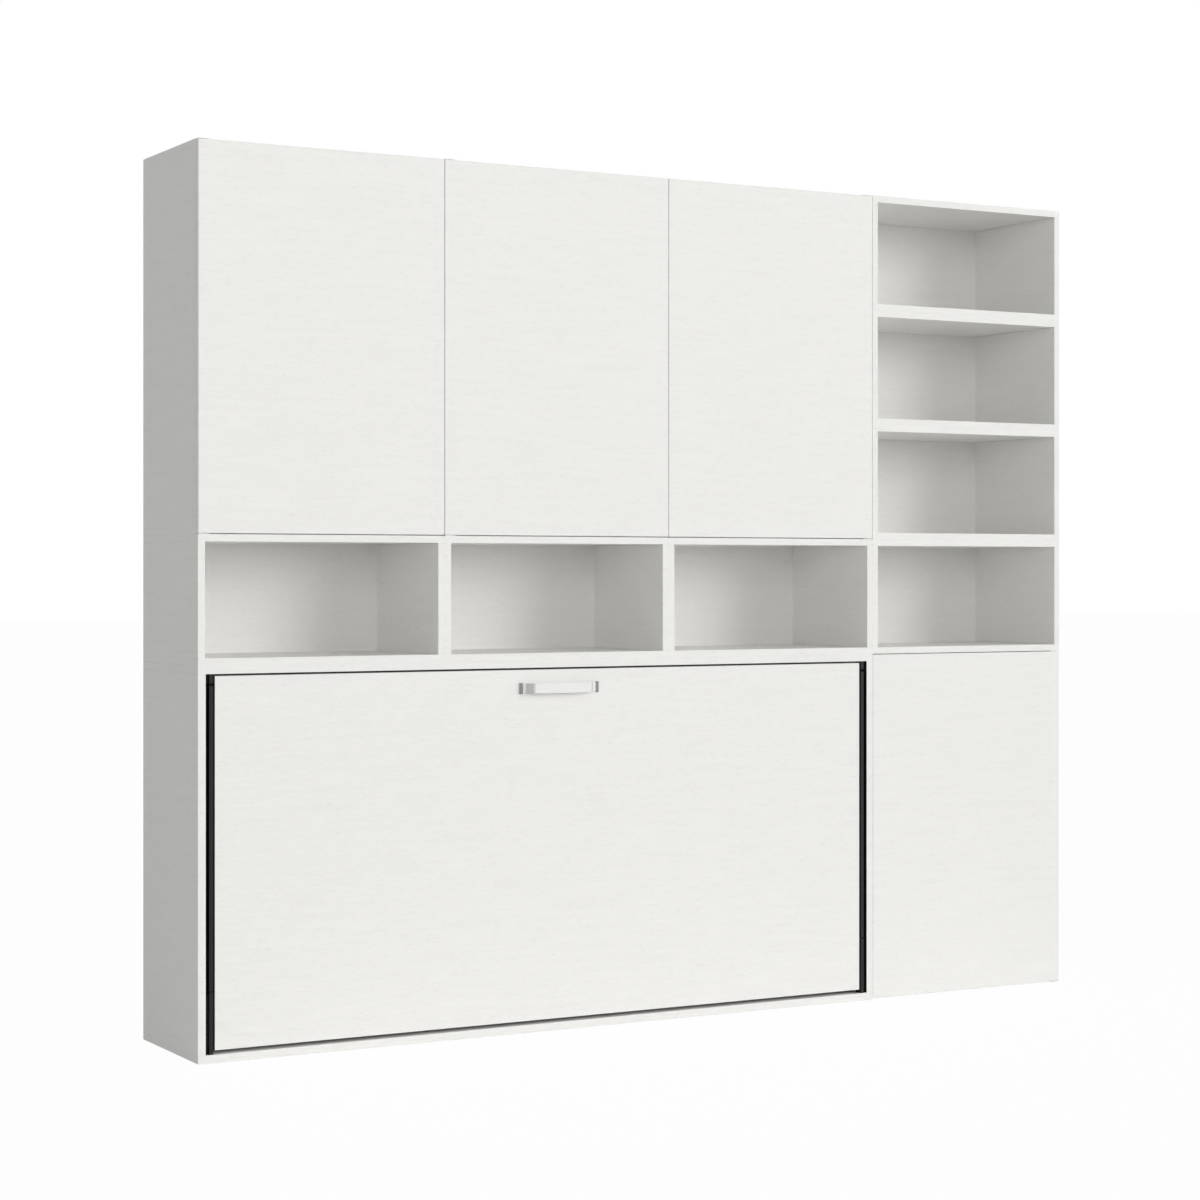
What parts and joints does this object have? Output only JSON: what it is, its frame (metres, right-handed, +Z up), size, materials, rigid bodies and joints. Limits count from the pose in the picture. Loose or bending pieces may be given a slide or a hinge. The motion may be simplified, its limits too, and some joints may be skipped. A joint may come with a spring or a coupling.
{
  "type": "wall bed with fold down desk",
  "caption": "Horizontal wall bed whose white front leaf folds down as a desk, under a row of open niches and doored cupboards, with a column of niches beside it.",
  "frame": {"origin": "centre of the bounding box on the floor", "axes": "+X to the right of the unit seen from the front, +Y towards the wall, +Z up"},
  "size_m": [2.63, 0.412, 2.23],
  "materials": {
    "white_melamine": "satin",
    "white_back_panel": "matte",
    "black_steel": "matte",
    "bright_steel": "satin",
    "white_steel": "satin",
    "satin_handle": "satin",
    "birch_slat": "satin",
    "black_plastic": "matte",
    "mattress_cover": "matte",
    "strap_webbing": "matte"
  },
  "bodies": {
    "cabinet": {"bed_case_left_side": "white_melamine", "bed_case_right_side": "white_melamine", "bed_case_top": "white_melamine", "bed_case_floor": "white_melamine", "bed_case_back": "white_back_panel", "case_side_liners": "black_plastic", "glides": "black_plastic", "niche_sides": "white_melamine", "niche_boards": "white_melamine", "niche_backs": "white_back_panel", "upper_cabinet_sides": "white_melamine", "upper_cabinet_boards": "white_melamine", "upper_cabinet_backs": "white_back_panel", "upper_cabinet_shelves": "white_melamine", "base_cabinet_sides": "white_melamine", "base_cabinet_boards": "white_melamine", "base_cabinet_back": "white_back_panel", "base_cabinet_shelves": "white_melamine", "shelf_pins": "bright_steel", "door_pivot_plates": "white_steel", "push_latches": "black_plastic", "wall_brackets": "black_steel", "bed_pivot_pins": "bright_steel", "strut_case_studs": "bright_steel", "bed_stop_blocks": "black_steel", "gap_strips": "black_plastic", "case_top_seal": "black_plastic"},
    "bed": {"bed_long_rails": "black_steel", "bed_side_rails": "black_steel", "bed_base_board": "white_melamine", "bed_top_seal": "black_plastic", "slats": "birch_slat", "slat_caps": "black_plastic", "mattress": "mattress_cover", "mattress_straps": "strap_webbing", "bed_side_plates": "black_steel", "bed_pivot_bushes": "black_plastic", "desk_tracks": "black_steel", "desk_arm_brackets": "black_steel", "bed_foot_pins": "black_steel", "desk_catch_magnets": "black_plastic"},
    "bed_feet": {"bed_feet": "black_steel", "bed_foot_pads": "black_plastic"},
    "strut_cylinders": {"strut_cylinders": "black_steel"},
    "strut_rods": {"strut_rods": "bright_steel"},
    "desk_arms": {"desk_arms": "black_steel"},
    "desk_leaf": {"desk_leaf": "white_melamine", "leaf_side_trims": "black_plastic", "handle": "satin_handle", "handle_end_caps": "black_plastic", "leaf_brackets": "black_steel", "desk_rollers": "black_plastic", "desk_leg_pins": "black_steel", "desk_catch_plates": "bright_steel"},
    "desk_legs": {"desk_legs": "black_steel", "desk_leg_pads": "black_plastic"},
    "upper_door_1": {"upper_door_1": "white_melamine"},
    "upper_door_2": {"upper_door_2": "white_melamine"},
    "upper_door_3": {"upper_door_3": "white_melamine"},
    "base_door": {"base_door": "white_melamine"}
  },
  "joints": [
    {"name": "bed_fold", "type": "hinge", "parent": "cabinet", "child": "bed", "pos_m": [-0.32875, -0.124, 0.252], "axis": [1, 0, 0], "range_deg": [0, 90]},
    {"name": "bed_foot_swing", "type": "hinge", "parent": "bed", "child": "bed_feet", "pos_m": [-0.32875, -0.1, 0.885], "axis": [-1, 0, 0], "range_deg": [0, 90]},
    {"name": "strut_swing", "type": "hinge", "parent": "cabinet", "child": "strut_cylinders", "pos_m": [-0.32875, 0.036, 0.532], "axis": [1, 0, 0], "range_deg": [0, 9.8]},
    {"name": "strut_slide", "type": "slide", "parent": "strut_cylinders", "child": "strut_rods", "axis": [0, 0.3942, 0.919], "range_m": [0, 0.118]},
    {"name": "desk_arm_swing", "type": "hinge", "parent": "bed", "child": "desk_arms", "pos_m": [-0.32875, -0.148, 0.752], "axis": [-1, 0, 0], "range_deg": [0, 90]},
    {"name": "desk_leaf_tilt", "type": "hinge", "parent": "desk_arms", "child": "desk_leaf", "pos_m": [-0.32875, -0.148, 0.399], "axis": [1, 0, 0], "range_deg": [0, 180]},
    {"name": "desk_leg_swing", "type": "hinge", "parent": "desk_leaf", "child": "desk_legs", "pos_m": [-0.32875, -0.171, 0.905], "axis": [-1, 0, 0], "range_deg": [0, 90]},
    {"name": "upper_door_1_swing", "type": "hinge", "parent": "cabinet", "child": "upper_door_1", "pos_m": [-1.309, -0.18, 1.75], "axis": [0, 0, -1], "range_deg": [0, 95]},
    {"name": "upper_door_2_swing", "type": "hinge", "parent": "cabinet", "child": "upper_door_2", "pos_m": [-0.6515, -0.18, 1.75], "axis": [0, 0, -1], "range_deg": [0, 95]},
    {"name": "upper_door_3_swing", "type": "hinge", "parent": "cabinet", "child": "upper_door_3", "pos_m": [0.6515, -0.18, 1.75], "axis": [0, 0, 1], "range_deg": [0, 95]},
    {"name": "base_door_swing", "type": "hinge", "parent": "cabinet", "child": "base_door", "pos_m": [1.309, -0.18, 0.48], "axis": [0, 0, 1], "range_deg": [0, 95]}
  ],
  "couplings": [
    {"joint": "bed_foot_swing", "follows": "bed_fold", "ratio": 1},
    {"joint": "strut_swing", "follows": "bed_fold", "ratio": 0.1084},
    {"joint": "strut_slide", "follows": "bed_fold", "m_per_rad": 0.0751},
    {"joint": "desk_leaf_tilt", "follows": "desk_arm_swing", "ratio": 2},
    {"joint": "desk_leg_swing", "follows": "desk_arm_swing", "ratio": 1}
  ]
}
